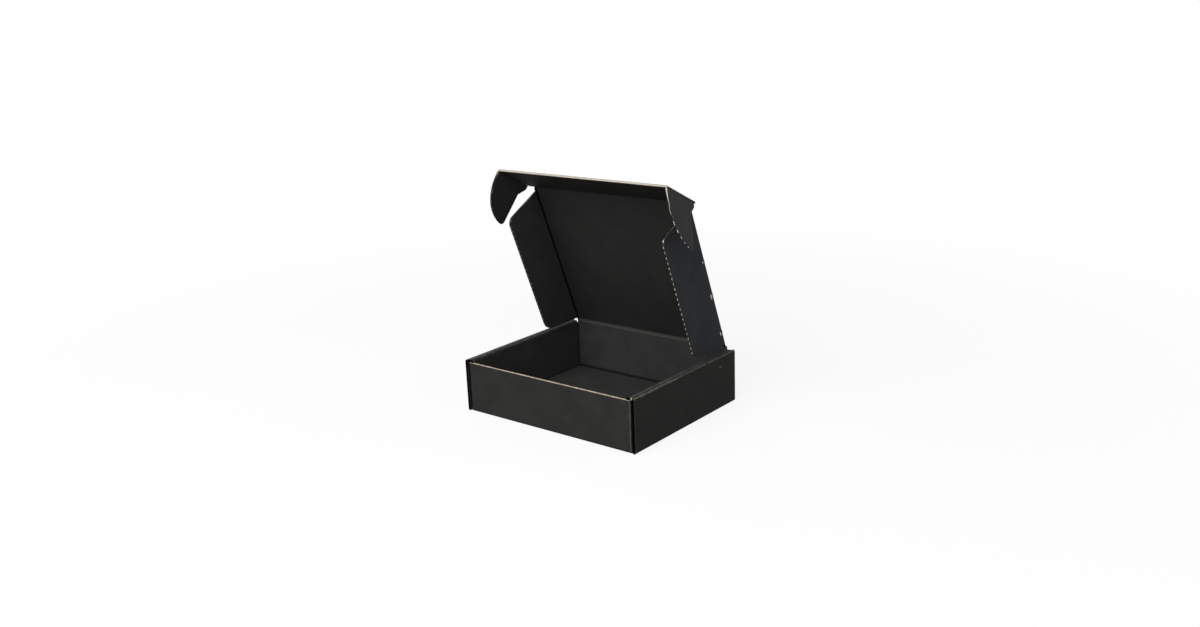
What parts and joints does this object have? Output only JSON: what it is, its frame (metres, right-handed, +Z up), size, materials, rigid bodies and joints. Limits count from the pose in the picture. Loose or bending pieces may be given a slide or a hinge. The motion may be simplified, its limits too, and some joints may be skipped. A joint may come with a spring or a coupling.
{
  "type": "mailer box",
  "caption": "Corrugated mailer box with rolled-over side walls, a hinged lid with side flaps, and a front tuck with lock ears.",
  "frame": {"origin": "middle of the underside of the tray", "axes": "+Z up, +Y from the front wall to the back wall that carries the lid, +X from the left side wall to the right one"},
  "size_m": [0.2702, 0.19, 0.2668],
  "materials": {
    "board": "matte black liner on corrugated board, with plain brown cut edges"
  },
  "bodies": {
    "tray": {"tray": "board"},
    "lid": {"lid": "board"},
    "flap_left": {"lid_side_flap_left": "board"},
    "flap_right": {"lid_side_flap_right": "board"},
    "tuck": {"tuck_flap": "board"},
    "ear_left": {"lock_ear_left": "board"},
    "ear_right": {"lock_ear_right": "board"}
  },
  "joints": [
    {"name": "lid_hinge", "type": "hinge", "parent": "tray", "child": "lid", "pos_m": [0, 0.0938, 0.0625], "axis": [-1, 0, 0], "range_deg": [-69, 111]},
    {"name": "tuck_fold", "type": "hinge", "parent": "lid", "child": "tuck", "pos_m": [0, 0.0256, 0.24016], "axis": [-1, 0, 0], "range_deg": [-47.6, 42.4]},
    {"name": "ear_fold_left", "type": "hinge", "parent": "tuck", "child": "ear_left", "pos_m": [-0.1151, 0.0256, 0.24016], "axis": [0, 0.8942, -0.4478], "range_deg": [-20, 70]},
    {"name": "ear_fold_right", "type": "hinge", "parent": "tuck", "child": "ear_right", "pos_m": [0.1151, 0.0256, 0.24016], "axis": [0, -0.8942, 0.4478], "range_deg": [-20, 70]},
    {"name": "flap_fold_left", "type": "hinge", "parent": "lid", "child": "flap_left", "pos_m": [-0.1059, 0.09268, 0.06207], "axis": [0, 0.3584, -0.9336], "range_deg": [-85, 15]},
    {"name": "flap_fold_right", "type": "hinge", "parent": "lid", "child": "flap_right", "pos_m": [0.1059, 0.09268, 0.06207], "axis": [0, -0.3584, 0.9336], "range_deg": [-85, 15]}
  ]
}
